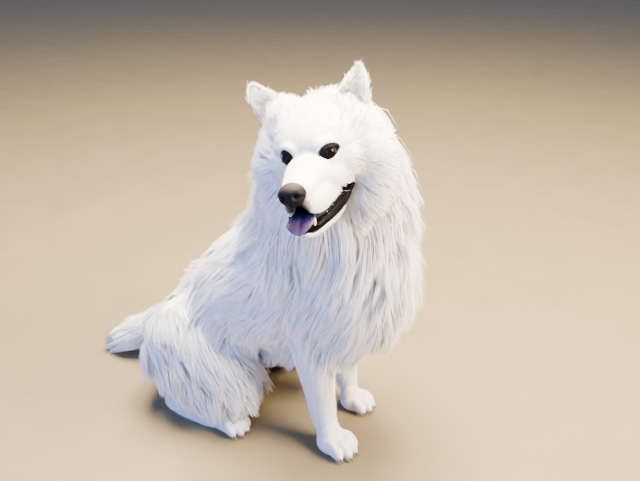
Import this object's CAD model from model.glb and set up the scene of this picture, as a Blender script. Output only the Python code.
# The looks of a sitting, life-size, still model of a Samoyed: white double coat, black nose and eye rims.
import math

import bmesh
import bpy
import numpy as np
from mathutils import Matrix, Vector
from mathutils.bvhtree import BVHTree
from mathutils.kdtree import KDTree


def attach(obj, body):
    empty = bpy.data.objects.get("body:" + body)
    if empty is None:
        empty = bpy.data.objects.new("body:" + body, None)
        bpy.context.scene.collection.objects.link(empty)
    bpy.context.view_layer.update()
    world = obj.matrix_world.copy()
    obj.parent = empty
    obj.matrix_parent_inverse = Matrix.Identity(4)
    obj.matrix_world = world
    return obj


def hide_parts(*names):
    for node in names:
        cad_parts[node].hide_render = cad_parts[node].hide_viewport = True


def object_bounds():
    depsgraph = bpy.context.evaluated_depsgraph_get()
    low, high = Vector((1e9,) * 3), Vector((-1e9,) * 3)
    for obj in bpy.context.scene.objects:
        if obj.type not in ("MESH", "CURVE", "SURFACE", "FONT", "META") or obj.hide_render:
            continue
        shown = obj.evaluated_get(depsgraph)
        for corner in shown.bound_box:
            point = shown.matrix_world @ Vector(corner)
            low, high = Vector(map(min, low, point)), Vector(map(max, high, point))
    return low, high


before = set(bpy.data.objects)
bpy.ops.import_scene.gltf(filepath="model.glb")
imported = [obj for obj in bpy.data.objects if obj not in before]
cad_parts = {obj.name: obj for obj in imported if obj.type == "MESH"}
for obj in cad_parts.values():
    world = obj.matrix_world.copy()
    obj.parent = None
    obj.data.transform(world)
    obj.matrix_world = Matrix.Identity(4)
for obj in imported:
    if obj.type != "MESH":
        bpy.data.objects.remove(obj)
cad_box = [list(corner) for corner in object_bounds()]


# Camera: a camera at a standing viewer's chest, looking down at the sitting dog from its right front.
# The frame's origin is the middle of the dog's box; STAND is the floor point between its forepaws.
STAND = Vector((0.26373, 0.03641, 0.0))
look = Vector((-0.4455, 0.7716, -0.4540)).normalized()
right = Vector((0.866, 0.5, 0.0)).normalized()
above = right.cross(look)
camera = bpy.data.objects.new("camera", bpy.data.cameras.new("camera"))
camera.data.sensor_width = 36.0
camera.data.lens = 37.69  # solved with the camera's place from the photo's perspective
turned = Matrix((right, above, -look)).transposed().to_4x4()
camera.matrix_world = Matrix.Translation(STAND + Vector((0.448, -0.896, 0.916))) @ turned
bpy.context.scene.collection.objects.link(camera)
bpy.context.scene.camera = camera


# Floor and lights: a matt pale floor under a large soft box and a cool sky, the way a bright room
# lights a white animal: warm from above and behind its left, cool on the side that faces the camera.
def colour(hexed):
    """An sRGB hex value as linear RGBA."""
    channels = [int(hexed[i:i + 2], 16) / 255 for i in (0, 2, 4)]
    return [c / 12.92 if c <= 0.04045 else ((c + 0.055) / 1.055) ** 2.4 for c in channels] + [1.0]


def add_node(material, kind, settings={}, links={}):
    """Adds a shader node: settings by attribute or input, links as {input: (node, output)}. A Mix node's colours are
    its inputs 6 and 7 and its output 2."""
    node = material.node_tree.nodes.new("ShaderNode" + kind)
    for name, value in settings.items():
        if isinstance(name, str) and hasattr(node, name):
            setattr(node, name, value)
        else:
            node.inputs[name].default_value = value
    for name, (source, output) in links.items():
        material.node_tree.links.new(source.outputs[output], node.inputs[name])
    return node


def new_material(name):
    """An empty node material."""
    material = bpy.data.materials.new(name)
    material.use_nodes = True
    material.node_tree.nodes.clear()
    return material


def meshed(bm, name, smooth=True):
    """Makes a bmesh a named mesh and frees it."""
    for face in bm.faces:
        face.smooth = smooth
    mesh = bpy.data.meshes.new(name)
    bm.to_mesh(mesh)
    bm.free()
    return mesh


def show(name, mesh, material):
    """Puts a mesh into the scene as an object with one material."""
    piece = bpy.data.objects.new(name, mesh)
    mesh.materials.append(material)
    bpy.context.scene.collection.objects.link(piece)
    return piece


# Matt paint, rolled on: pale brown with a faint mottle that keeps the large plane from looking flat
floor_paint = new_material("matt_floor_paint")
spot = add_node(floor_paint, "TexCoord")
mottle = add_node(floor_paint, "TexNoise", {"Scale": 9.0, "Detail": 3.0}, {"Vector": (spot, "Object")})
tone = add_node(floor_paint, "Mix", {"data_type": "RGBA", 6: colour("655538"), 7: colour("716141")},
                {"Factor": (mottle, "Fac")})
paint = add_node(floor_paint, "BsdfPrincipled", {"Roughness": 0.7}, {"Base Color": (tone, 2)})
add_node(floor_paint, "OutputMaterial", {}, {"Surface": (paint, "BSDF")})
bm = bmesh.new()
bmesh.ops.create_grid(bm, x_segments=2, y_segments=2, size=12.0)
floor = show("floor", meshed(bm, "floor", smooth=False), floor_paint)

world = bpy.data.worlds.new("sky")
world.use_nodes = True
world.node_tree.nodes["Background"].inputs["Color"].default_value = colour("ACC8FA")
world.node_tree.nodes["Background"].inputs["Strength"].default_value = 0.86
bpy.context.scene.world = world

for name, place, size, power, tint in (
    ("soft_box_above", (-0.3, 0.32, 2.6), 1.4, 780.0, "FFF1DC"),
    ("soft_box_right", (2.0, 0.35, 1.8), 1.2, 500.0, "FFECD2"),
    ("cool_fill", (-0.3, -2.3, 1.1), 1.6, 135.0, "6C9CFF"),
):
    lamp = bpy.data.lights.new(name, "AREA")
    lamp.size = size
    lamp.energy = power
    lamp.color = colour(tint)[:3]
    light = bpy.data.objects.new(name, lamp)
    light.location = STAND + Vector(place)
    light.rotation_euler = (Vector((-0.1, 0.0, 0.35)) - Vector(place)).to_track_quat("-Z", "Y").to_euler()
    bpy.context.scene.collection.objects.link(light)


# Body: flesh and bone from the neck to the tail, modelled as runs of flesh through stations and melted together, so
# that no seam shows between neck, legs and trunk. It lies under the coat by the coat's depth.
MM = 0.001
STEPS = 240  # places kept along each smooth path


def through(points, centripetal):
    """A Catmull-Rom curve through points, read at STEPS + 1 places."""
    points = np.array(points, float)
    rows = np.vstack([2 * points[0] - points[1], points, 2 * points[-1] - points[-2]])
    u = np.linspace(0, len(points) - 1, STEPS + 1)
    i = np.minimum(u.astype(int), len(points) - 2)
    w = (u - i)[:, None]
    a, b, c, d = rows[i], rows[i + 1], rows[i + 2], rows[i + 3]
    leave, arrive = (c - a) / 2, (d - b) / 2
    if centripetal:
        ab, bc, cd = (np.sqrt(np.linalg.norm(q - p, axis=1))[:, None] for p, q in ((a, b), (b, c), (c, d)))
        leave = ((b - a) / ab - (c - a) / (ab + bc) + (c - b) / bc) * bc
        arrive = ((c - b) / bc - (d - b) / (bc + cd) + (d - c) / cd) * bc
    return b + leave * w + (3 * (c - b) - 2 * leave - arrive) * w**2 + (2 * (b - c) + leave + arrive) * w**3


def unit(rows):
    """Rows of vectors at length one."""
    return rows / np.maximum(np.linalg.norm(rows, axis=1), 1e-9)[:, None]


def placed(place, rows):
    """Rows of points through a 4 x 4 matrix."""
    m = np.array(place)
    return rows @ m[:3, :3].T + m[:3, 3]


class Run:
    """Flesh along a smooth path. A station is its place, then the flesh's reach to the sides, up and down, then the
    coat's depth the same ways, in millimetres. An angle of 0 is to the side and 90 degrees the upper face."""

    def __init__(self, place, stations, blunt=2.6, sideways=(0, 1, 0)):
        self.place = place
        self.blunt = blunt
        self.path = through([s[0] for s in stations], True)
        self.flesh = through([s[1] for s in stations], False)
        self.coat = through([s[2] if len(s) > 2 else (0, 0, 0) for s in stations], False)
        self.tangent = unit(np.gradient(self.path, axis=0))
        across = np.array(sideways, float)
        self.side = unit(across - self.tangent * (self.tangent @ across)[:, None])
        self.rise = np.cross(self.tangent, self.side)

    def at(self, t, angle, share=1.0, grow=0.0):
        t = np.clip(t, 0, 1)
        i = np.minimum((t * STEPS).astype(int), STEPS - 1)
        w = (t * STEPS - i)[:, None]
        path, flesh, coat, tangent, side, rise = (
            rows[i] * (1 - w) + rows[i + 1] * w
            for rows in (self.path, self.flesh, self.coat, self.tangent, self.side, self.rise)
        )
        size = flesh + share * coat + grow
        cap = (1 - np.abs(2 * t - 1) ** self.blunt) ** (1 / self.blunt)
        upright = np.where(np.sin(angle) > 0, size[:, 1], size[:, 2])
        reach = side * (np.cos(angle) * size[:, 0] * cap)[:, None] + rise * (np.sin(angle) * upright * cap)[:, None]
        return path + reach + tangent * ((2 * t - 1) ** 5 * grow)[:, None]


def fill_run(bm, run, share=0.0, grow=0.0, around=32, along=28):
    """Draws a sphere out along a run."""
    verts = bmesh.ops.create_uvsphere(bm, u_segments=around, v_segments=along, radius=1.0)["verts"]
    ball = np.array([vert.co for vert in verts])
    t = (np.arccos(np.clip(ball[:, 2], -1, 1)) / math.pi + (1 - ball[:, 2]) / 2) / 2
    spots = placed(run.place, run.at(t, np.arctan2(ball[:, 1], ball[:, 0]), share, grow))
    for vert, spot in zip(verts, spots):
        vert.co = spot
    if run.place.determinant() > 0:
        bmesh.ops.reverse_faces(bm, faces=list({face for vert in verts for face in vert.link_faces}))
    return verts


def fill_ball(bm, place, centre, reach):
    """A ball with three reaches, in millimetres in its own place."""
    moved = place @ Matrix.Translation(centre) @ Matrix.Diagonal((*reach, 1.0))
    bmesh.ops.create_uvsphere(bm, u_segments=32, v_segments=24, radius=1.0, matrix=moved)


def melted(bm, voxel, passes):
    """Fuses a bmesh's closed shapes into one smooth mesh."""
    piece = bpy.data.objects.new("shapes", meshed(bm, "shapes", smooth=False))
    bpy.context.scene.collection.objects.link(piece)
    remesh = piece.modifiers.new("remesh", "REMESH")
    remesh.mode = "VOXEL"
    remesh.voxel_size = voxel
    smooth = piece.modifiers.new("smooth", "SMOOTH")
    smooth.factor = 0.5
    smooth.iterations = passes
    ready = piece.evaluated_get(bpy.context.evaluated_depsgraph_get())
    fused = bpy.data.meshes.new_from_object(ready)
    bpy.data.objects.remove(piece)
    return fused


body_place = Matrix.Translation(STAND) @ Matrix.Scale(MM, 4)
mirror = Matrix.Scale(-1, 4, (0, 1, 0))
head_turn = (
    Matrix.Rotation(math.radians(-77), 4, "Z")
    @ Matrix.Rotation(math.radians(-9.3), 4, "Y")
    @ Matrix.Rotation(math.radians(14), 4, "X")
)
head_place = body_place @ Matrix.Translation((-9, -140, 600)) @ head_turn @ Matrix.Scale(1.06, 4)
to_head = head_place.inverted()
head_axes = np.array(to_head.to_3x3().normalized())

trunk = [
    ((-366, 0, 24), (76, 58, 58), (40, 40, 30)),
    ((-346, 0, 94), (98, 76, 70), (42, 46, 30)),
    ((-278, 0, 180), (96, 86, 84), (38, 30, 30)),
    ((-190, 0, 268), (100, 98, 100), (40, 26, 36)),
    ((-92, 0, 352), (100, 102, 104), (46, 38, 60)),
    ((-50, 0, 440), (88, 88, 90), (58, 54, 70)),
    ((-40, -6, 520), (70, 68, 72), (64, 58, 66)),
]
neck = [
    ((-120, 0, 320), (90, 90, 96), (60, 50, 72)),
    ((-62, 0, 410), (92, 88, 92), (70, 56, 86)),
    ((-46, -3, 480), (80, 76, 82), (80, 60, 86)),
    ((-38, -10, 545), (66, 64, 66), (82, 60, 72)),
    ((-34, -18, 592), (56, 56, 54), (56, 54, 56)),
    ((-28, -54, 634), (37, 40, 40), (26, 34, 34)),
]
bib = [
    ((-36, 0, 500), (66, 70, 50), (50, 56, 20)),
    ((-32, 0, 430), (82, 86, 60), (56, 68, 20)),
    ((-34, 0, 350), (84, 90, 60), (54, 66, 20)),
    ((-44, 0, 275), (76, 84, 50), (50, 62, 20)),
    ((-54, 0, 210), (58, 56, 40), (44, 52, 20)),
    ((-58, 0, 160), (34, 24, 24), (36, 40, 16)),
]
haunch = [
    ((-330, 70, 236), (36, 42, 44), (30, 32, 30)),
    ((-318, 84, 192), (46, 88, 74), (32, 34, 36)),
    ((-308, 90, 138), (50, 128, 84), (34, 36, 42)),
    ((-310, 94, 98), (50, 138, 86), (34, 36, 42)),
    ((-320, 98, 68), (42, 112, 76), (30, 34, 38)),
    ((-326, 98, 48), (30, 64, 54), (24, 28, 30)),
]
hind_foot = [
    ((-356, 128, 26), (15, 18, 24), (12, 14, 10)),
    ((-300, 127, 20), (14, 15, 20), (11, 14, 9)),
    ((-240, 125, 18), (17, 15, 18), (8, 10, 6)),
    ((-200, 122, 20), (20, 18, 20), (5, 5, 4)),
]
foreleg = [
    ((-52, 60, 296), (26, 40, 42), (10, 12, 10)),
    ((-50, 70, 235), (27, 34, 34), (12, 14, 10)),
    ((-38, 66, 160), (22, 24, 24), (10, 12, 9)),
    ((-29, 63, 90), (18, 19, 19), (8, 8, 7)),
    ((-24, 62, 58), (19, 19, 20), (8, 8, 7)),
    ((-12, 64, 30), (21, 20, 20), (7, 7, 6)),
]
dock = [
    ((-392, 0, 112), (18, 18, 22), (34, 32, 26)),
    ((-440, -4, 94), (16, 16, 18), (38, 34, 26)),
    ((-500, -14, 66), (13, 13, 14), (40, 36, 26)),
    ((-548, -27, 46), (10, 10, 10), (36, 30, 20)),
    ((-586, -44, 34), (4, 4, 4), (28, 22, 14)),
]
belly = [
    ((-64, 0, 190), (40, 44, 28), (24, 20, 64)),
    ((-130, 0, 188), (56, 50, 34), (30, 20, 106)),
    ((-196, 0, 190), (56, 50, 32), (30, 20, 94)),
    ((-256, 0, 196), (44, 40, 28), (20, 20, 34)),
]
step_back = Matrix.Translation((-20, 0, 0))

# Each run of the body: its stations, its place, the share of the coat that its skin takes up, the hair's length and
# width in millimetres, and the way it lies: along the run, down and to the back.
coats = [
    ("trunk", trunk, body_place, 0.46, 72, 1.2, (-1.0, 0.45, 0.0)),
    ("neck", neck, body_place, 0.46, 90, 1.2, (-1.0, 0.30, 0.0)),
    ("bib", bib, body_place, 0.46, 95, 1.2, (0.6, 0.60, 0.0)),
    ("thigh_left", haunch, body_place, 0.46, 62, 1.2, (0.2, 0.75, -0.60)),
    ("thigh_right", haunch, body_place @ mirror, 0.46, 62, 1.2, (0.2, 0.75, -0.60)),
    ("hock_left", hind_foot, body_place, 0.4, 28, 1.1, (1.0, 0.10, 0.0)),
    ("hock_right", hind_foot, body_place @ mirror, 0.4, 28, 1.1, (1.0, 0.10, 0.0)),
    ("foreleg_left", foreleg, body_place @ step_back, 0.5, 26, 1.1, (1.0, 0.10, 0.1)),
    ("foreleg_right", foreleg, body_place @ mirror, 0.5, 26, 1.1, (1.0, 0.10, 0.1)),
    ("tail", dock, body_place, 0.3, 105, 1.3, (1.0, 0.05, 0.0)),
    ("belly", belly, body_place, 0.2, 100, 1.3, (0.1, 1.0, 0.2)),
]
bm = bmesh.new()
runs = []
for name, stations, place, share, length, width, lie in coats:
    run = Run(place, stations)
    runs.append(run)
    fill_run(bm, run, share)
fill_ball(bm, head_place, (-82, 0, 6), (47, 61, 47))  # the neck's flesh runs on under the back of the head
body_mesh = melted(bm, 6 * MM, 14)

# Paws: four toes spread round a pad, under short hair. The forepaws, which carry the chest, are larger and have a
# wrist; each toe is a run of its own, so that the clefts between them stay when the paw is melted together.
paws = {
    "forepaw_right": ((3, -69), -0.15, 1.0), "forepaw_left": ((-19, 56), 0.05, 0.88),
    "hindpaw_right": ((-198, -120), -0.15, 0.88), "hindpaw_left": ((-198, 120), 0.15, 0.88),
}
toes = [(-20, 20, 11.5), (-7.2, 30, 12.5), (7.2, 30, 12.5), (20, 20, 11.5)]
bm = bmesh.new()
paw_places = []
for (x, y), turn, scale in paws.values():
    place = body_place @ Matrix.Translation((x, y, 0)) @ Matrix.Rotation(turn, 4, "Z") @ Matrix.Scale(scale, 4)
    paw_places.append(place)
    fill_ball(bm, place, (-6, 0, 19), (29, 28, 22))
    if place.translation.x > STAND.x - 0.1:
        fill_ball(bm, place, (-16, 0, 36), (19, 20, 28))
    for out, on, size in toes:
        fill_run(bm, Run(place, [
            ((on - 26, out * 0.9, 25), (size - 5, 11, 9)),
            ((on - 5, out * 1.05, 23), (size - 4, 11, 17)),
            ((on + 12, out * 1.16, 11), (size - 5.5, 8, 10)),
        ]), around=16, along=14)
feet_mesh = melted(bm, 2.2 * MM, 3)

# Head: skull, muzzle and open jaw under short fur, built up from balls and runs of flesh and melted together. Its
# own place is in millimetres: +X to the nose, +Y its left, the origin midway between the eyes.
EARS = {
    "left": [((-64, 45, 30), 23), ((-66, 56, 56), 20), ((-68, 65, 77), 11.5), ((-71, 71, 95), 3.5)],
    "right": [((-64, 48, 30), 21), ((-64, 64, 58), 21), ((-65, 79, 79), 14), ((-68, 88, 96), 5)],
}
EYE = (-7, 26.8, -1)
EYE_TURN = math.radians(46)
eye_places = {}
for node, flip in (("eye_left", Matrix.Identity(4)), ("eye_right", mirror)):
    eye_places[node] = head_place @ flip @ Matrix.Translation(EYE) @ Matrix.Rotation(EYE_TURN, 4, "Z")
bm = bmesh.new()
fill_ball(bm, head_place, (-66, 0, 6), (72, 60, 48))
fill_ball(bm, head_place, (-82, 0, 8), (50, 67, 49))
fill_ball(bm, head_place, (-54, 0, -14), (50, 66, 44))
fill_run(bm, Run(head_place, [
    ((-32, 0, -13), (41, 28, 27)),
    ((4, 0, -21), (32, 22.5, 29)),
    ((37, 0, -27), (25, 17, 27)),
    ((64, 0, -34), (21, 13, 22)),
    ((83, 0, -39), (15, 9, 15)),
], blunt=3.6))
fill_run(bm, Run(head_place, [
    ((-52, 0, -62), (33, 9, 20)),
    ((-14, 0, -76), (30, 5, 18)),
    ((24, 0, -85), (22, 3, 14)),
    ((53, 0, -90), (16, 2, 8)),
    ((70, 0, -91), (9, 2, 4.5)),
], blunt=3.6))
fill_ball(bm, head_place @ mirror, (-84, 76, -66), (30, 34, 46))
fill_ball(bm, head_place @ mirror, (-72, 42, 28), (32, 27, 40))
fill_ball(bm, head_place, (-72, 44, 24), (32, 27, 32))
for flip in (Matrix.Identity(4), mirror):
    side_place = head_place @ flip
    fill_run(bm, Run(side_place, [
        ((-72, 46, 52), (16, 16, 26), (26, 6, 20)),
        ((-66, 50, 20), (22, 22, 34), (32, 6, 24)),
        ((-64, 50, -14), (32, 26, 36), (38, 6, 26)),
        ((-64, 46, -46), (34, 18, 34), (40, 6, 26)),
        ((-60, 38, -80), (26, 12, 26), (34, 6, 20)),
        ((-56, 28, -116), (10, 6, 14), (20, 4, 12)),
    ]), share=0.4)
    fill_ball(bm, side_place, (-38, 22, -32), (56, 22, 27))
    fill_run(bm, Run(side_place, [
        ((80, 7, -49), (5, 6, 4)),
        ((62, 15, -52), (15, 7, 6)),
        ((36, 22, -52), (17, 6, 6)),
        ((8, 27, -50), (14, 4, 6)),
        ((-26, 32, -48), (10, 3, 5)),
    ], blunt=3, sideways=(0, 0, 1)), around=20, along=24)
    fill_run(bm, Run(side_place, [
        ((-9, 8, 11), (6, 6, 6)),
        ((-14, 24, 12), (7, 6, 6)),
        ((-22, 38, 11), (7, 6, 6)),
        ((-30, 52, 6), (6, 6, 6)),
    ], sideways=(0, 0, 1)), around=16, along=16)
for place in eye_places.values():
    for rise in (11.5, -12):
        fill_run(bm, Run(place, [
            ((0, -18, -1), (5, 5, 5)),
            ((1, -13, rise * 0.95), (6, 6, 6)),
            ((2.2, 0, rise * 1.15), (6, 6, 6)),
            ((1, 12, rise * 0.8 + 1), (6, 6, 6)),
            ((-4, 19, 3), (5, 5, 5)),
        ], sideways=(1, 0, 0)), around=16, along=16)
head_mesh = melted(bm, 2.4 * MM, 16)

# The lower lip's line, from the corner of the mouth to the front
LIP = [
    (-49, 47, -43.5), (-30, 43.5, -55.5), (-8, 39.5, -66), (16, 33.5, -73), (39, 25.5, -79), (58, 15.5, -83.5),
    (67, 0, -85.5),
]
lip_line = through(LIP, True)

# Ears: thick, upright, rounded triangles of gristle with a hollow front, set well apart. Each is one thin shell that
# is bent by giving its lower face a reach on the same side as its upper one.
bm = bmesh.new()
for side, place in (("left", head_place), ("right", head_place @ mirror)):
    run = Run(place, [(spot, (wide, 9.0, -2.5)) for spot, wide in EARS[side]], blunt=3)
    fill_run(bm, run, around=40, along=36)
ear_mesh = meshed(bm, "ears", smooth=False)

# Skin: one hide over the whole animal, from body, paws, head and ears. Pale and woolly, it shows only through gaps
# in the coat, is bare and black round the eyes, nose and mouth, and takes the place of all the flesh.
def read(mesh, name, size, kind=np.float32, of="vertices"):
    """One attribute of a mesh's points or corners as rows."""
    mesh.calc_loop_triangles()
    rows = np.empty(len(getattr(mesh, of)) * size, kind)
    getattr(mesh, of).foreach_get(name, rows)
    return rows.reshape(-1, size) if size > 1 else rows


def by_eyes(points, wide, high, low, tilt=0.14):
    """Which points lie in an almond-shaped opening round either eye, given by its reaches in millimetres."""
    found = np.zeros(len(points), bool)
    for place in eye_places.values():
        spot = placed(place.inverted(), points)
        u = spot[:, 1] * math.cos(tilt) + spot[:, 2] * math.sin(tilt)
        v = spot[:, 2] * math.cos(tilt) - spot[:, 1] * math.sin(tilt)
        edge = np.maximum(1 - (np.abs(u) / wide) ** np.where(u > 0, 1.6, 3.4), 1e-4)
        inside = (np.abs(u) < wide) & (np.abs(v) < np.where(v > 0, high, low) * edge)
        found |= inside & (spot[:, 0] > 0)
    return found


def round_mouth(spots, faces_up, rim):
    """Which spots of the head's skin line the open mouth or lie closer to the lower lip than the rim's widths at four
    places from the corner to the front. How far each one faces up tells the mouth's floor from its roof."""
    x, y, z = spots[:, 0], np.abs(spots[:, 1]), spots[:, 2]
    within = y < np.interp(x, lip_line[:, 0], lip_line[:, 1]) - 1
    floor = (x > -49) & (z > -94) & (z < -46) & (faces_up > 0.25) & within
    roof = (x > -50) & (x < 84) & (z < -46) & (z > -76) & (faces_up < -0.45) & within
    folded = np.column_stack((x, y, z - 3))
    off = np.min([np.linalg.norm(folded - on, axis=1) for on in lip_line[::6]], axis=0)
    return floor | roof | (off < np.interp(x, [-50, -35, -10, 20], rim))


# Woolly undercoat: pale felt of fine crimped hair with a dull, soft surface; black where the skin is bare
undercoat = new_material("woolly_undercoat")
dark = add_node(undercoat, "Attribute", {"attribute_name": "dark"})
flush = add_node(undercoat, "Attribute", {"attribute_name": "flush"})
wool = add_node(undercoat, "TexNoise", {"Scale": 600.0, "Detail": 2.0},
                {"Vector": (add_node(undercoat, "TexCoord"), "Object")})
tint = add_node(undercoat, "Mix", {"data_type": "RGBA", 6: colour("E3DACC"), 7: colour("F0EAE0")},
                {"Factor": (wool, "Fac")})
ear_skin = add_node(undercoat, "Mix", {"data_type": "RGBA", 7: colour("E6DAD6")},
                    {"Factor": (flush, "Fac"), 6: (tint, 2)})
tint = add_node(undercoat, "Mix", {"data_type": "RGBA", 7: colour("100C0C")},
                {"Factor": (dark, "Fac"), 6: (ear_skin, 2)})
fuzz = add_node(undercoat, "Bump", {"Strength": 0.4, "Distance": 0.001}, {"Height": (wool, "Fac")})
felt = add_node(undercoat, "BsdfPrincipled", {"Roughness": 0.9},
                {"Base Color": (tint, 2), "Normal": (fuzz, "Normal")})
add_node(undercoat, "OutputMaterial", {}, {"Surface": (felt, "BSDF")})
bm = bmesh.new()
for mesh in (body_mesh, feet_mesh, head_mesh, ear_mesh):
    bm.from_mesh(mesh)
for vert in bm.verts:
    vert.co.z = max(vert.co.z, 0.001)
mesh = meshed(bm, "skin")
spot = placed(to_head, read(mesh, "co", 3))
normal = read(mesh, "normal", 3) @ head_axes.T
shade = 1.0 * (by_eyes(read(mesh, "co", 3), 18, 11, 8) | round_mouth(spot, normal[:, 2], [2.5, 6, 7.5, 4]))
shade = np.maximum(shade, np.exp(-(((spot - (82, 0, -42)) / (16, 17, 18)) ** 6).sum(axis=1)))
shade = np.maximum(shade, np.exp(-(((spot - (82, 0, -54)) / (24, 20, 14)) ** 6).sum(axis=1)))
ear_first = len(body_mesh.vertices) + len(feet_mesh.vertices) + len(head_mesh.vertices)
warm = (np.arange(len(spot)) >= ear_first) * np.clip((normal[:, 0] - 0.2) * 3, 0, 1)
for label, values in (("dark", shade), ("flush", warm)):
    mesh.attributes.new(label, "FLOAT", "POINT").data.foreach_set("value", values.astype(np.float32))
skin = show("skin", mesh, undercoat)
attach(skin, "root")
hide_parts("head", "jaw", "neck", "chest", "torso", "tail", "ear_left", "ear_right",
            "foreleg_left", "foreleg_right", "forepaw_left", "forepaw_right", "thigh_left", "thigh_right",
            "hock_left", "hock_right", "hindpaw_left", "hindpaw_right")

# Coat: the white outer coat over a woolly undercoat, in thin tapered tufts that follow the lie: back from the nose,
# down the neck and chest, down and back over the ribs and thighs, short on face and feet, a plume on the tail.
def tile(index, u, v):
    """A place on the skin's unwrap, where each run of flesh has its own square."""
    return np.stack(((index % 4 + 0.02 + 0.96 * u) / 4, (index // 4 + 0.02 + 0.96 * v) / 4), axis=1)


class Hide:
    """A mesh with what grows on it, for each of its points: the lie, the depth of the coat over it, the length and
    width of its hair, all in metres, and its place on the unwrap."""

    def __init__(self, points, normals, corners):
        self.points, self.normals, self.corners = points, normals, corners
        self.tree = BVHTree.FromPolygons(points.tolist(), corners.tolist())

    def grows(self, lie, depth, length, width, chart, region):
        self.lie, self.depth, self.length, self.width = lie, depth, length, width
        self.chart, self.region = chart, region

    def evened(self, rows, passes):
        """Rows averaged with their neighbours', so that the lie turns smoothly."""
        a, b = np.vstack((self.corners[:, :2], self.corners[:, 1:], self.corners[:, ::2])).T
        count = np.bincount(np.concatenate((a, b)), minlength=len(rows)) + 1.0
        for _ in range(passes):
            total = rows.copy()
            for k in range(rows.shape[1]):
                column = rows[:, k]
                total[:, k] += np.bincount(a, column[b], len(rows)) + np.bincount(b, column[a], len(rows))
            rows = total / count[:, None]
        return rows

    def nearest(self, spots):
        """For each spot the surface's place, normal and nearest triangle."""
        found = [self.tree.find_nearest(spot) for spot in spots.tolist()]
        return tuple(np.array([f[k] for f in found]) for k in (0, 1, 2))

    def holds(self, spots):
        """Whether each spot is inside."""
        place, normal, _ = self.nearest(spots)
        return np.einsum("ij,ij->i", spots - place, normal) < 0


def in_order(corners):
    """Triangles in one order, because the ears' spheres give theirs in another one each time."""
    first = corners.argmin(axis=1)[:, None]
    corners = np.take_along_axis(corners, (first + np.arange(3)) % 3, axis=1)
    return corners[np.lexsort(corners.T)]


def flat_on(normals, rows):
    """Vectors laid into the surface."""
    return unit(rows - normals * np.einsum("ij,ij->i", rows, normals)[:, None])


FEET, HEAD, EARS_TILE = len(coats), len(coats) + 1, len(coats) + 2
body_hide, feet_hide, head_hide, ear_hide = (
    Hide(read(mesh, "co", 3), read(mesh, "normal", 3), read(mesh, "vertices", 3, np.int32, "loop_triangles"))
    for mesh in (body_mesh, feet_mesh, head_mesh, ear_mesh)
)
ear_hide = Hide(ear_hide.points, unit(np.round(ear_hide.normals, 4)), in_order(ear_hide.corners))

# The body reads its coat from guides set along each run
guide_rows = []
for index, (run, (name, _, place, share, length, width, lie)) in enumerate(zip(runs, coats)):
    t, angle = (g.ravel() for g in np.meshgrid(np.linspace(0.02, 0.98, 40), np.arange(48) / 48 * 2 * math.pi))
    low = placed(place, run.at(t, angle, share))
    high = placed(place, run.at(t, angle, 1.0))
    along = unit(placed(place, run.at(t + 0.02, angle, share)) - placed(place, run.at(t - 0.02, angle, share)))
    way = along * lie[0] + np.array([-lie[2], 0.0, -lie[1]])
    depth = np.linalg.norm(high - low, axis=1) * {"neck": 0.80, "trunk": 0.50}.get(name, 1.0)
    size = np.ones(len(t))
    if name == "neck":
        depth = depth * np.interp(t, [0.60, 0.88], [1.0, 0.4])
    if name == "tail":
        size = np.interp(t, [0, 0.6, 1], [1.0, 1.0, 0.7])
    if name.startswith("thigh"):
        size = np.interp(low[:, 2], [0.03, 0.11], [0.4, 1.0])
    guide_rows.append(np.column_stack((
        low, way, depth, size * length * MM, size * 0 + width * MM,
        tile(index, t, angle / (2 * math.pi)), size * 0 + index,
    )))
guide_rows = np.vstack(guide_rows)
near, _, _ = body_hide.nearest(guide_rows[:, :3])
guide_rows = guide_rows[np.linalg.norm(near - guide_rows[:, :3], axis=1) < 9 * MM]
guide_tree = KDTree(len(guide_rows))
for i, row in enumerate(guide_rows[:, :3]):
    guide_tree.insert(row, i)
guide_tree.balance()
blend = np.empty((len(body_hide.points), 6))
closest = np.empty(len(body_hide.points), int)
for i, point in enumerate(body_hide.points):
    found = guide_tree.find_n(point, 8)
    closest[i] = found[0][1]
    weight = np.array([1 / (f[2] + 4 * MM) ** 2 for f in found])
    blend[i] = weight @ guide_rows[[f[1] for f in found], 3:9] / weight.sum()
blend = body_hide.evened(blend, 8)
tousle = body_hide.evened(np.random.default_rng(5).normal(0, 1, (len(blend), 4)), 40)
tousle /= tousle.std(axis=0)
blend[:, :3] = unit(blend[:, :3]) + tousle[:, :3] * 0.16
blend[:, 3] *= 1 + 0.12 * tousle[:, 3]
body_hide.grows(
    flat_on(body_hide.normals, blend[:, :3]), blend[:, 3], blend[:, 4], blend[:, 5],
    guide_rows[closest, 9:11], guide_rows[closest, 11].astype(int),
)

# The feet's short hair lies forward over the toes
points, normals = feet_hide.points, feet_hide.normals
which = np.argmin([np.linalg.norm(points[:, :2] - np.array(p.translation)[:2], axis=1) for p in paw_places], axis=0)
inverse = [p.inverted() for p in paw_places]
local = np.array([inverse[k] @ Vector(p) for k, p in zip(which, points)])
size = np.ones(len(points))
feet_hide.grows(
    flat_on(normals, size[:, None] * np.array([0.9, 0.0, -0.35])),
    size * 2.6 * MM, size * 8 * MM, size * 1.0 * MM,
    tile(FEET, (which + (local[:, 0] + 40) / 90) / 4, np.arctan2(local[:, 2] - 15, local[:, 1]) / (2 * math.pi) + 0.5),
    size.astype(int) * FEET,
)

# The head's hair streams back from the nose, short on the muzzle and longest on the cheeks and nape
NOSE = np.array([84.0, 0.0, -36.0])


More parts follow.
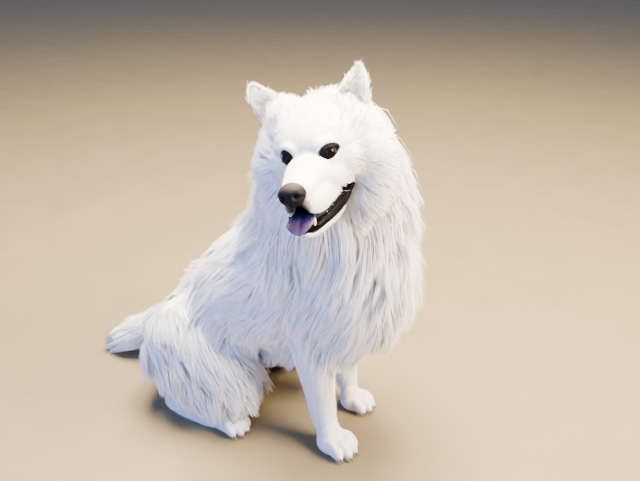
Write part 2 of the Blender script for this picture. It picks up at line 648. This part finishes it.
def head_coat(hide, tile_index):
    """Sets the coat of the head by its distance from the nose."""
    spot = placed(to_head, hide.points)
    normal = unit(hide.normals @ head_axes.T)
    lie = unit(spot - NOSE) + np.array([-0.25, 0.0, 0.0])
    for side in (1, -1):
        from_eye = spot - np.array([-6.0, side * 33.0, 0.0])
        far = np.linalg.norm(from_eye, axis=1)[:, None]
        lie += from_eye / far * np.exp(-((far / 24) ** 2)) * 2.6
    low = np.clip((-spot[:, 2] - 10) / 60, 0, 1) * np.clip((20 - spot[:, 0]) / 40, 0, 1)
    lie[:, 2] -= 1.5 * low
    lie[:, 1] += 0.5 * low * np.sign(spot[:, 1])
    lie[:, 2] -= 1.3 * np.clip((-spot[:, 0] - 70) / 40, 0, 1)
    reach = np.linalg.norm(spot - NOSE, axis=1)
    length = np.interp(reach, [0, 30, 60, 85, 110, 150, 200], [3, 4, 7, 10, 15, 36, 58])
    depth = np.interp(reach, [0, 30, 60, 85, 110, 150, 200], [0.8, 1.2, 2.0, 3.0, 5.5, 14.0, 25.0])
    x, y, z = spot[:, 0], np.abs(spot[:, 1]), spot[:, 2]
    cheek = np.exp(-(((y - 60) / 30) ** 2) - ((z + 36) / 70) ** 2 - ((x + 70) / 42) ** 2)
    temple = np.exp(-(((y - 60) / 28) ** 2) - ((z - 12) / 40) ** 2 - ((x + 88) / 42) ** 2)
    length = np.maximum(length, np.maximum(80 * cheek, 62 * temple))
    depth = np.maximum(depth, np.maximum(42 * cheek, 36 * temple))
    ear_foot = np.exp(-((y - 48) / 22) ** 2 - ((z - 52) / 24) ** 2 - ((x + 56) / 26) ** 2)
    length = np.maximum(length, 52 * ear_foot)
    depth = np.maximum(depth, 30 * ear_foot)
    lie[:, 2] += 2.4 * ear_foot
    from_eye = np.linalg.norm(np.stack((x + 4, y - 31, z), axis=1), axis=1)
    length = length * np.interp(from_eye, [12, 36], [0.4, 1])
    depth = depth * np.interp(from_eye, [12, 36], [0.3, 1])
    depth = depth * (1 - 0.6 * np.clip((-x - 85) / 40, 0, 1) * np.clip((75 - y) / 30, 0, 1))
    width = np.interp(length, [2.5, 10, 50], [0.8, 1.0, 1.2])
    chart = tile(tile_index, np.clip(reach / 230, 0, 1), np.arctan2(spot[:, 2] + 10, spot[:, 1]) / (2 * math.pi) + 0.5)
    lie = flat_on(normal, hide.evened(lie, 12)) @ head_axes
    hide.grows(unit(lie), depth * MM, length * MM, width * MM, chart, np.full(len(spot), tile_index))
    return spot


head_spot = head_coat(head_hide, HEAD)
ear_spot = head_coat(ear_hide, EARS_TILE)
upward = np.array(head_place.to_3x3().normalized()) @ np.array([-0.2, 0.0, 1.0])  # the way the ears' hair lies
ear_hide.lie = flat_on(ear_hide.normals, np.tile(upward, (len(ear_spot), 1)))
ear_hide.length[:] = 19 * MM
ear_hide.depth[:] = 9 * MM
ear_hide.width[:] = 1.0 * MM

# The hair walks over the outer surface of all the hides together
hides = [body_hide, head_hide, feet_hide]
kept, first = [], 0
for hide in hides:
    sunk = np.zeros(len(hide.points), bool)
    for other in hides:
        if other is not hide:
            sunk |= other.holds(hide.points)
    kept.append(hide.corners[~sunk[hide.corners].all(axis=1)] + first)
    first += len(hide.points)
ground = Hide(np.vstack([h.points for h in hides]), np.vstack([h.normals for h in hides]), np.vstack(kept))
ground.lie = np.vstack([h.lie for h in hides])
PAST_BOX = 0.018  # how far hair may pass the solids' box
room = (np.array(cad_box[0]) - PAST_BOX, np.array(cad_box[1]) + PAST_BOX)


def comb(hide, ground, keep, cover, steps, seed, stray, clumps, stiff, fall):
    """Grows tufts on a hide where keep (a mask of its points) is set, as many as cover it that many times. They walk
    over the ground in steps, with stray turns, in clumps of (members, strength, sway), stiffly or not, and fall. Gives
    their paths, outward directions, half widths, places on the unwrap and regions."""
    draw = np.random.default_rng(seed)
    a, b, c = hide.corners.T
    area = np.linalg.norm(np.cross(hide.points[b] - hide.points[a], hide.points[c] - hide.points[a]), axis=1) / 2
    weight = area * keep[a] * cover / (hide.length[a] * hide.width[a] * 0.5)
    total = np.cumsum(weight)
    count = int(total[-1])
    pick = np.searchsorted(total, (np.arange(count) + draw.random(count)) / count * total[-1])
    pick = np.minimum(pick, len(a) - 1)
    u, v = draw.random((2, count))
    over = u + v > 1
    u[over], v[over] = 1 - u[over], 1 - v[over]
    bary = np.stack((1 - u - v, u, v), axis=1)[:, :, None]
    mix = lambda rows: (rows[hide.corners[pick]] * bary).sum(axis=1)
    column = lambda rows: mix(rows[:, None])[:, 0]
    root, out, lie = mix(hide.points), unit(mix(hide.normals)), mix(hide.lie)
    depth = column(hide.depth) * draw.uniform(0.6, 1.12, count)
    length = column(hide.length) * draw.uniform(0.65, 1.15, count)
    half = column(hide.width) * draw.uniform(0.7, 1.2, count) / 2
    depth = np.minimum(depth, length * 0.8)
    run = np.sqrt(length**2 - depth**2) / steps
    wander = draw.normal(0, 1, (count, 3)) * (stray * np.where(draw.random(count) < 0.06, 2.0, 1.0))[:, None]
    spot = root - out * half[:, None] * 3
    heading = unit(lie + out * (depth / length * 1.4)[:, None])
    path = [spot]
    outs = [out]
    surface = root
    for k in range(1, steps + 1):
        share = k / steps
        surface, normal, face = ground.nearest(surface + lie * run[:, None])
        lie = flat_on(normal, ground.lie[ground.corners[face, 0]])
        wanted = surface + normal * (depth * share**1.05)[:, None]
        step = unit(wanted - spot) + heading * stiff + wander
        step[:, 2] -= fall * share
        heading = unit(step)
        spot = spot + heading * (length / steps)[:, None]
        spot = np.clip(spot, room[0], room[1])
        spot[:, 2] = np.maximum(spot[:, 2], 0.002)
        path.append(spot)
        outs.append(normal)
    path = np.stack(path, axis=1)
    for members, strength, sway in clumps:
        leaders = draw.permutation(count)[: max(count // members, 1)]
        bend = draw.normal(0, sway, (len(leaders), 3))
        tree = KDTree(len(leaders))
        for i, leader in enumerate(leaders):
            tree.insert(root[leader], i)
        tree.balance()
        lock = np.array([tree.find(r)[1] for r in root.tolist()])
        level = np.linspace(0, 1, steps + 1)[None, :, None]
        sag = bend[lock][:, None] * np.minimum(length / 0.06, 1.2)[:, None, None]
        path = path + (path[leaders[lock]] - path) * strength * level**1.6 + sag * level
    path = np.clip(path, (*room[0][:2], 0.001), room[1])
    return path, np.stack(outs, axis=1), half, hide.chart[hide.corners[pick, 0]], hide.region[a[pick]]


def tufts(name, path, outs, half, chart, material, soft=0.75):
    """One mesh of closed three-sided tufts that taper to a point at the root and at the tip."""
    count, rings = path.shape[0], path.shape[1] - 2
    run = np.gradient(path, axis=1)
    run /= np.maximum(np.linalg.norm(run, axis=2), 1e-9)[:, :, None]
    across = np.cross(run, outs)
    across /= np.maximum(np.linalg.norm(across, axis=2), 1e-9)[:, :, None]
    rise = np.cross(across, run)
    share = np.linspace(0, 1, rings + 2)
    ring, facing = [], []
    for corner in (0, 1, 2):
        angle = math.pi / 2 + corner * 2 * math.pi / 3
        reach = across * math.cos(angle) + rise * 0.5 * math.sin(angle)
        ring.append(path + reach * half[:, None, None])
        facing.append(reach * (1 - soft) + outs * soft)
    body = np.stack(ring, axis=2)[:, 1:-1].reshape(count, rings * 3, 3)
    points = np.concatenate((path[:, :1], body, path[:, -1:]), axis=1).reshape(-1, 3)
    body = np.stack(facing, axis=2)[:, 1:-1].reshape(count, rings * 3, 3)
    facing = np.concatenate((outs[:, :1], body, outs[:, -1:]), axis=1).reshape(-1, 3)
    each = rings * 3 + 2
    faces = [(0, 1 + c, 1 + (c + 1) % 3) for c in (0, 1, 2)]
    for k in range(1, rings):
        low = k * 3 - 2
        for c in (0, 1, 2):
            n = (c + 1) % 3
            faces += [(low + c, low + 3 + c, low + n), (low + n, low + 3 + c, low + 3 + n)]
    last = rings * 3 - 2
    faces += [(last + c, each - 1, last + (c + 1) % 3) for c in (0, 1, 2)]
    corners = (np.array(faces)[None] + (np.arange(count) * each)[:, None, None]).reshape(-1)
    mesh = bpy.data.meshes.new(name)
    mesh.vertices.add(len(points))
    mesh.vertices.foreach_set("co", points.astype(np.float32).ravel())
    mesh.loops.add(len(corners))
    mesh.loops.foreach_set("vertex_index", corners.astype(np.int32))
    mesh.polygons.add(len(corners) // 3)
    mesh.polygons.foreach_set("loop_start", np.arange(0, len(corners), 3, dtype=np.int32))
    mesh.polygons.foreach_set("use_smooth", np.ones(len(corners) // 3, bool))
    mesh.update(calc_edges=True)
    if soft:
        facing[:, 2] = np.maximum(facing[:, 2], -0.35)
        mesh.normals_split_custom_set_from_vertices(unit(facing))
    # OFBake: each tuft is a patch 0.003 across at its root's place on the skin's unwrap
    level = np.concatenate(([0.0], np.repeat(share[1:-1], 3), [1.0]))
    side = np.concatenate(([0.5], np.tile([0.0, 0.5, 1.0], rings), [0.5]))
    patch = np.stack((side - 0.5, level - 0.5), axis=1) * 0.003
    spots = (chart[:, None, :] + patch[None]).reshape(-1, 2)
    mesh.uv_layers.new(name="OFBake").data.foreach_set("uv", spots[corners].astype(np.float32).ravel())
    draw = np.random.default_rng(count)
    for label, values in (("tone", np.repeat(draw.random(count), each)), ("along", np.tile(level, count))):
        mesh.attributes.new(label, "FLOAT", "POINT").data.foreach_set("value", values.astype(np.float32))
    piece = show(name, mesh, material)
    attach(piece, "root")
    return piece


# White guard hair: straight, harsh and slightly glossy, cream at its root and clear white at its tip, each tuft a
# little warmer or cooler than the next, so that the locks stand apart
outer_hair = new_material("white_guard_hair")
tone = add_node(outer_hair, "Attribute", {"attribute_name": "tone"})
along = add_node(outer_hair, "Attribute", {"attribute_name": "along"})
tips = add_node(outer_hair, "Mix", {"data_type": "RGBA", 6: colour("ECE5D9"), 7: colour("FDFCFA")},
                {"Factor": (tone, "Fac")})
hair = add_node(outer_hair, "Mix", {"data_type": "RGBA", 6: colour("DCD2C2")},
                {"Factor": (along, "Fac"), 7: (tips, 2)})
gloss = add_node(outer_hair, "BsdfPrincipled", {"Roughness": 0.55, "Specular IOR Level": 0.25},
                 {"Base Color": (hair, 2)})
add_node(outer_hair, "OutputMaterial", {}, {"Surface": (gloss, "BSDF")})

# Bare skin: round the eyes, at and under the nose, in the mouth and along the lower lip
bare = by_eyes(head_hide.points, 19.5, 12.5, 9.6)
bare |= np.linalg.norm((head_spot - np.array([82, 0, -36.5])) / np.array([16, 18, 15]), axis=1) < 1
bare |= np.linalg.norm((head_spot - np.array([82, 0, -54])) / np.array([24, 20, 14]), axis=1) < 1
bare |= round_mouth(head_spot, unit(head_hide.normals @ head_axes.T)[:, 2], [2.5, 6, 7, 4.5])

# Each growth: its hide, where it grows, how many times it covers the hide, its steps and the seed of its draws, then
# how it strays, its clumps, its stiffness and its fall
long_hair = body_hide.length > 40 * MM
short_face = head_hide.length <= 14 * MM
cup = (ear_hide.normals @ head_axes.T)[:, 0] > 0.25
combed = [
    (body_hide, long_hair, 10.0, 4, 11, 0.12, ((160, 0.45, 0.007), (14, 0.5, 0.003)), 0.8, 0.3),
    (body_hide, ~long_hair, 5.0, 2, 12, 0.10, ((9, 0.3, 0.0),), 0.4, 0.1),
    (head_hide, ~bare & ~short_face, 9.0, 4, 13, 0.10, ((90, 0.35, 0.003), (10, 0.35, 0.001)), 0.9, 0.1),
    (head_hide, ~bare & short_face, 2.6, 2, 14, 0.07, (), 0.4, 0.0),
    (feet_hide, feet_hide.length > 0, 1.5, 2, 15, 0.07, (), 0.4, 0.0),
    (ear_hide, ~cup, 6.0, 2, 16, 0.20, ((20, 0.3, 0.001),), 0.5, 0.0),
    (ear_hide, cup, 7.0, 2, 17, 0.20, ((20, 0.3, 0.001),), 0.5, 0.0),
]
MOST = 190000  # triangles in one piece of coat
EACH = 6  # triangles in one tuft
names = [coat[0] for coat in coats] + ["feet", "head", "ears"]
for hide, keep, cover, steps, seed, stray, clumps, stiff, fall in combed:
    over = hide if hide is ear_hide else ground
    path, outs, half, chart, region = comb(hide, over, keep, cover, steps, seed, stray, clumps, stiff, fall)
    if hide is ear_hide:
        outs = outs * 0.2 + upward
        outs /= np.linalg.norm(outs, axis=2)[:, :, None]
    # Roots under another hide are dropped, but the head's hair starts a little under the neck's to close the nape
    free = np.ones(len(path), bool)
    out_by = 10 * MM if hide is head_hide else 3 * MM
    for other in hides:
        if other is not hide:
            free &= ~other.holds(path[:, 0] + outs[:, 0] * out_by)
    kept = [0, steps // 2, steps]
    path, outs = path[:, kept], outs[:, kept]
    for index in np.unique(region[free]):
        chosen = np.flatnonzero(free & (region == index))
        pieces = math.ceil(len(chosen) * EACH / MOST)
        for part, rows in enumerate(np.array_split(chosen, pieces)):
            name = f"coat_{names[index]}_{seed}_{part}"
            tufts(name, path[rows], outs[rows], half[rows], chart[rows], outer_hair)

# Eyes: dark brown, set under black almond-shaped lids. Each is a glossy ball whose iris shows as a slightly lighter
# ring; the lids are bare black skin that follows the ball and slips under the fur of the brow and cheek.
# Wet eye: clear, nearly mirror-smooth jelly over dark brown, so that a lamp shows in it as one small bright spot
eye_jelly = new_material("wet_eye")
gaze = add_node(eye_jelly, "Attribute", {"attribute_name": "gaze"})
iris = add_node(eye_jelly, "ValToRGB", {}, {"Fac": (gaze, "Fac")})
stops = iris.color_ramp.elements
stops[0].position, stops[0].color = 0.20, colour("050404")
stops[1].position, stops[1].color = 0.26, colour("120A06")
stops.new(0.40).color = colour("0B0705")
stops.new(0.47).color = colour("0A0706")
stops.new(0.60).color = colour("1A1614")
jelly = add_node(eye_jelly, "BsdfPrincipled", {"Roughness": 0.06, "IOR": 1.34, "Specular IOR Level": 0.2},
                 {"Base Color": (iris, "Color")})
add_node(eye_jelly, "OutputMaterial", {}, {"Surface": (jelly, "BSDF")})

# Lid skin: black, finely crinkled and dull, which draws the eye's dark almond
lid_leather = new_material("black_lid_skin")
crinkle = add_node(lid_leather, "TexNoise", {"Scale": 900.0, "Detail": 3.0},
                   {"Vector": (add_node(lid_leather, "TexCoord"), "Object")})
lid_tint = add_node(lid_leather, "Mix", {"data_type": "RGBA", 6: colour("050404"), 7: colour("0B0909")},
                    {"Factor": (crinkle, "Fac")})
lid_bump = add_node(lid_leather, "Bump", {"Strength": 0.5, "Distance": 0.0006}, {"Height": (crinkle, "Fac")})
leather = add_node(lid_leather, "BsdfPrincipled", {"Roughness": 0.5, "Specular IOR Level": 0.04},
                   {"Base Color": (lid_tint, 2), "Normal": (lid_bump, "Normal")})
add_node(lid_leather, "OutputMaterial", {}, {"Surface": (leather, "BSDF")})

for node, place in eye_places.items():
    bm = bmesh.new()
    pupil_first = place @ Matrix.Rotation(math.radians(90), 4, "Y")
    bmesh.ops.create_uvsphere(bm, u_segments=48, v_segments=32, radius=11.0, matrix=pupil_first)
    layer = bm.verts.layers.float.new("gaze")
    back = place.inverted()
    for vert in bm.verts:
        spot = back @ vert.co
        angle = math.acos(max(-1.0, min(1.0, spot.x / spot.length)))
        vert[layer] = angle / (math.pi / 2)
        vert.co = place @ (spot * (1 + 0.07 * max(0.0, 1 - angle / 0.62)))
    if place.determinant() < 0:
        bmesh.ops.reverse_faces(bm, faces=bm.faces[:])
    ball = show(node + "_ball", meshed(bm, node + "_ball"), eye_jelly)
    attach(ball, "root")
    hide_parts(node)

    bm = bmesh.new()
    loop = bmesh.ops.create_circle(bm, segments=56, radius=1.0)["verts"]
    edges = list({edge for vert in loop for edge in vert.link_edges})
    shares = [1.0]
    for share in (1.04, 1.12, 1.3, 1.55, 1.75):
        out = bmesh.ops.extrude_edge_only(bm, edges=edges)["geom"]
        edges = [g for g in out if isinstance(g, bmesh.types.BMEdge)]
        for vert in (g for g in out if isinstance(g, bmesh.types.BMVert)):
            vert.co *= share / shares[-1]
        shares.append(share)
    for vert in bm.verts:
        ring = vert.co.length
        turn = math.atan2(vert.co.y, vert.co.x)
        u = math.cos(turn) * (11.7 + (ring - 1) * 6)
        shut = math.copysign(abs(math.sin(turn)) ** 1.15, math.sin(turn))
        shut *= 1 - (0.15 if turn > 0 else 0.55) * math.cos(turn)
        v = shut * ((5.8 + (ring - 1) * 8) if turn > 0 else (5.2 + (ring - 1) * 4)) + 2.6 * max(math.cos(turn), 0) ** 2
        u, v = u * math.cos(0.12) - v * math.sin(0.12), u * math.sin(0.12) + v * math.cos(0.12)
        far = math.hypot(u, v)
        deep = math.sqrt(12.2**2 - min(far, 7.5) ** 2) - 0.30 * max(far - 7.5, 0.0)
        lift = 0.5 if ring < 1.03 else (1.2 if ring < 1.4 else 0.2)
        vert.co = place @ Vector((deep + lift - 0.6, u, v))
    bm.normal_update()
    facing = sum((f.normal for f in bm.faces), Vector())
    if facing.dot(place.to_3x3() @ Vector((1, 0, 0))) < 0:
        bmesh.ops.reverse_faces(bm, faces=bm.faces[:])
    lids = show(node + "_lids", meshed(bm, node + "_lids"), lid_leather)
    thick = lids.modifiers.new("thick", "SOLIDIFY")
    thick.thickness, thick.offset = 0.0008, -1.0
    finer = lids.modifiers.new("finer", "SUBSURF")
    finer.levels = finer.render_levels = 1
    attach(lids, "root")

# Nose: a broad black leather pad with comma-shaped nostrils and a groove down the middle, finely cobbled. Its upper
# face catches the light and looks brownish grey.
# Nose leather: damp and black, in cobbles about 1 mm across that break up its sheen
nose_leather = new_material("black_nose_leather")
cobble = add_node(nose_leather, "TexVoronoi", {"Scale": 950.0},
                  {"Vector": (add_node(nose_leather, "TexCoord"), "Object")})
upper = add_node(nose_leather, "Attribute", {"attribute_name": "upper"})
nose_tint = add_node(nose_leather, "Mix", {"data_type": "RGBA", 6: colour("090808"), 7: colour("38302C")},
                     {"Factor": (upper, "Fac")})
nose_bump = add_node(nose_leather, "Bump", {"Strength": 0.6, "Distance": 0.0006}, {"Height": (cobble, "Distance")})
pad = add_node(nose_leather, "BsdfPrincipled", {"Roughness": 0.5, "Specular IOR Level": 0.10},
               {"Base Color": (nose_tint, 2), "Normal": (nose_bump, "Normal")})
add_node(nose_leather, "OutputMaterial", {}, {"Surface": (pad, "BSDF")})

bm = bmesh.new()
nose_place = head_place @ Matrix.Translation((82, 0, -35.5))
bmesh.ops.create_uvsphere(bm, u_segments=72, v_segments=48, radius=1.0)
layer = bm.verts.layers.float.new("upper")
for vert in bm.verts:
    x, y, z = vert.co
    vert[layer] = max(0.0, min(1.0, (z - 0.35) * 2.2))
    wide = 18.5 * (1 - 0.10 * max(z, 0) - 0.16 * max(-z, 0))
    tall = 15.0 if z > 0 else 16.5
    spot = Vector((x * 15.0, y * wide, z * tall))
    groove = math.exp(-((y / 0.07) ** 2)) * (1 if z < 0.25 else 0) * (1 if x > 0 else 0)
    spot.x -= 2.2 * groove * min(1.0, (0.25 - z) * 3 if z < 0.25 else 0)
    side = abs(y)
    hole = math.exp(-(((side - 0.46) / 0.15) ** 2) - ((z + 0.08 - 0.25 * (side - 0.46)) / 0.17) ** 2)
    slit = math.exp(-(((side - 0.72) / 0.20) ** 2) - ((z + 0.20 - 0.35 * (side - 0.72)) / 0.09) ** 2)
    if x > -0.2:
        spot -= Vector((x, y * 0.5, z * 0.2)) * (7.0 * hole + 4.0 * slit)
        vert[layer] *= 1 - min(1.0, hole + slit)
    vert.co = nose_place @ spot
nose_pad = show("nose_pad", meshed(bm, "nose_pad"), nose_leather)
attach(nose_pad, "root")
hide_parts("nose")

# Lips and lining: soft black skin, open in a pant. The lip is a loose roll that runs round the lower jaw from corner
# to corner, and the dark lining fills the mouth behind it. Wet and blotched, it gives a few dull lights in the dark.
wet_lip = new_material("wet_black_lip")
blotch = add_node(wet_lip, "TexNoise", {"Scale": 160.0, "Detail": 3.0},
                  {"Vector": (add_node(wet_lip, "TexCoord"), "Object")})
lip_tint = add_node(wet_lip, "ValToRGB", {}, {"Fac": (blotch, "Fac")})
stops = lip_tint.color_ramp.elements
stops[0].position, stops[0].color = 0.5, colour("040303")
stops[1].position, stops[1].color = 0.8, colour("180F10")
lip_bump = add_node(wet_lip, "Bump", {"Strength": 0.5, "Distance": 0.001}, {"Height": (blotch, "Fac")})
lip_skin = add_node(wet_lip, "BsdfPrincipled", {"Roughness": 0.4, "Specular IOR Level": 0.03},
                    {"Base Color": (lip_tint, "Color"), "Normal": (lip_bump, "Normal")})
add_node(wet_lip, "OutputMaterial", {}, {"Surface": (lip_skin, "BSDF")})

round_jaw = LIP + [(x, -y, z) for x, y, z in reversed(LIP[:-1])]
bm = bmesh.new()
reach = [(3, 1.5, 1.5), (4, 2, 2), (5, 3, 2.4), (5.5, 4, 2.6), (5, 4, 2.6), (4.5, 4, 2.4), (4, 3, 2.2)]
roll = Run(head_place, list(zip(round_jaw, reach + reach[-2::-1])), blunt=4, sideways=(0, 0, 1))
fill_run(bm, roll, around=20, along=120)
fill_run(bm, Run(head_place, [
    ((-62, 0, -44), (36, 6, 8)),
    ((-38, 0, -54), (43, 8, 9)),
    ((-10, 0, -64), (38, 11, 9)),
    ((30, 0, -73), (26, 12, 8)),
    ((58, 0, -79), (11, 10, 6)),
], blunt=4))
lips = show("lips", meshed(bm, "lips"), wet_lip)
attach(lips, "root")

# Teeth: the lower canines and the incisors between them, small cones of enamel that stand in the jaw just inside the
# lips. The enamel is ivory white and smooth, so a tooth catches the light against the dark mouth.
enamel = new_material("tooth_enamel")
stain = add_node(enamel, "TexNoise", {"Scale": 400.0}, {"Vector": (add_node(enamel, "TexCoord"), "Object")})
ivory = add_node(enamel, "Mix", {"data_type": "RGBA", 6: colour("DED3BD"), 7: colour("F4EFE4")},
                 {"Factor": (stain, "Fac")})
tooth = add_node(enamel, "BsdfPrincipled", {"Roughness": 0.2}, {"Base Color": (ivory, 2)})
add_node(enamel, "OutputMaterial", {}, {"Surface": (tooth, "BSDF")})
bm = bmesh.new()
for side in (1, -1):
    for x, y, z, wide, tall in (
        (60, 14, -83, 2.6, 13), (62, 8.5, -85, 1.4, 4), (64, 5.2, -86, 1.3, 4), (65, 1.8, -86, 1.3, 4),
    ):
        crown = head_place @ Matrix.Translation((x, side * y, z + tall / 2 - 1)) @ Matrix.Rotation(side * -0.12, 4, "X")
        bmesh.ops.create_uvsphere(bm, u_segments=14, v_segments=12, radius=1.0,
                                  matrix=crown @ Matrix.Diagonal((wide, wide * 0.7, tall / 2 + 1, 1.0)))
teeth = show("teeth", meshed(bm, "teeth"), enamel)
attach(teeth, "root")

# Tongue: a soft wet blade, rooted at the back of the jaw, that lies over the front teeth with a groove down its
# middle. It is violet in the mouth's shade and pink at its tip, finely grained by its papillae.
wet_tongue = new_material("wet_tongue")
papillae = add_node(wet_tongue, "TexVoronoi", {"Scale": 1100.0},
                    {"Vector": (add_node(wet_tongue, "TexCoord"), "Object")})
forward = add_node(wet_tongue, "Attribute", {"attribute_name": "forward"})
tongue_tint = add_node(wet_tongue, "ValToRGB", {}, {"Fac": (forward, "Fac")})
stops = tongue_tint.color_ramp.elements
stops[0].position, stops[0].color = 0.55, colour("17132C")
stops[1].position, stops[1].color = 0.9818, colour("4B2E48")
stops.new(0.80).color = colour("1F1A3C")
tongue_bump = add_node(wet_tongue, "Bump", {"Strength": 0.35, "Distance": 0.0005}, {"Height": (papillae, "Distance")})
flesh = add_node(wet_tongue, "BsdfPrincipled",
                 {"Roughness": 0.42, "Subsurface Weight": 0.15, "Subsurface Radius": (0.004, 0.0015, 0.0015)},
                 {"Base Color": (tongue_tint, "Color"), "Normal": (tongue_bump, "Normal")})
add_node(wet_tongue, "OutputMaterial", {}, {"Surface": (flesh, "BSDF")})
bm = bmesh.new()
run = Run(head_place, [
    ((-18, 0, -60), (16, 5, 4)),
    ((20, 0, -65), (17, 5, 4)),
    ((48, 0, -71), (16, 4.5, 4)),
    ((65, -0.5, -75), (17.5, 4, 3.5)),
    ((77, -1, -80), (18.5, 3.5, 3)),
    ((84, -1, -86), (14, 3, 3)),
], blunt=3)
verts = fill_run(bm, run, around=48, along=56)
layer = bm.verts.layers.float.new("forward")
for vert in bm.verts:
    spot = to_head @ vert.co
    vert[layer] = (spot.x + 20) / 105 + max(0.0, -86 - spot.z) / 60
    dip = math.exp(-(((spot.y + 0.5) / 3.0) ** 2)) * 1.6
    vert.co = head_place @ (spot - Vector((0, 0, dip)) + Vector((0, 0, abs(spot.y + 0.5) ** 2 * 0.012)))
tongue_blade = show("tongue_blade", meshed(bm, "tongue_blade"), wet_tongue)
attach(tongue_blade, "root")
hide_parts("tongue")

# Claws: short curved cones of dark horn, one at the end of each toe, mostly hidden in the hair. Each is rooted in its
# toe. The horn is smooth and greyish brown, with a faint grain.
horn = new_material("dark_horn")
grain = add_node(horn, "TexNoise", {"Scale": 500.0}, {"Vector": (add_node(horn, "TexCoord"), "Object")})
horn_tint = add_node(horn, "Mix", {"data_type": "RGBA", 6: colour("3A332E"), 7: colour("6B6058")},
                     {"Factor": (grain, "Fac")})
nail = add_node(horn, "BsdfPrincipled", {"Roughness": 0.35}, {"Base Color": (horn_tint, 2)})
add_node(horn, "OutputMaterial", {}, {"Surface": (nail, "BSDF")})
bm = bmesh.new()
for place in paw_places:
    for out, on, size in toes:
        fill_run(bm, Run(place, [
            ((on + 8, out * 1.16, 12), (2.6, 3.0, 3.0)),
            ((on + 14, out * 1.18, 9), (2.2, 2.5, 2.5)),
            ((on + 18, out * 1.19, 5), (0.9, 1.1, 1.1)),
        ], blunt=3), around=12, along=12)
claws = show("claws", meshed(bm, "claws"), horn)
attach(claws, "root")

# Whiskers: a few stiff white bristles on each side of the muzzle that sweep back and down, and shorter ones at the
# edge of the upper lip that cross the dark mouth. Each is rooted in the skin.
bm = bmesh.new()
draw = np.random.default_rng(21)
bristles = [
    (x, 24 - 0.16 * (x - 30), -60 + 0.10 * (30 - x), 17, (-0.12, 0.3, -0.9)) for x in (-20, -10, 0, 10, 20, 31, 42)
]
bristles += [
    (x, 27 - 0.2 * (x - 30), z, 38, (-0.6, 0.75, -0.1)) for x, z in ((58, -44), (50, -49), (42, -43), (34, -47))
]
for side in (1, -1):
    for x, y, z, long, go in bristles:
        root = np.array((x, side * y, z), float)
        go = np.array((go[0], side * go[1], go[2])) + draw.normal(0, 0.09, 3)
        go *= long * draw.uniform(0.6, 1.15) / np.linalg.norm(go)
        stations = [
            (tuple(root + go * k + np.array((-3.0, 0, -2.0)) * k * k), (0.13 * (1.1 - k),) * 3)
            for k in (0, 0.3, 0.65, 1)
        ]
        fill_run(bm, Run(head_place, stations, blunt=6), around=5, along=10)
# Bristle: stiff white hair with a slight gloss
bristle = new_material("white_bristle")
glint = add_node(bristle, "TexNoise", {"Scale": 300.0}, {"Vector": (add_node(bristle, "TexCoord"), "Object")})
pale = add_node(bristle, "Mix", {"data_type": "RGBA", 6: colour("EDE8DF"), 7: colour("FFFFFF")},
                {"Factor": (glint, "Fac")})
keratin = add_node(bristle, "BsdfPrincipled", {"Roughness": 0.3}, {"Base Color": (pale, 2)})
add_node(bristle, "OutputMaterial", {}, {"Surface": (keratin, "BSDF")})
whiskers = show("whiskers", meshed(bm, "whiskers"), bristle)
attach(whiskers, "root")
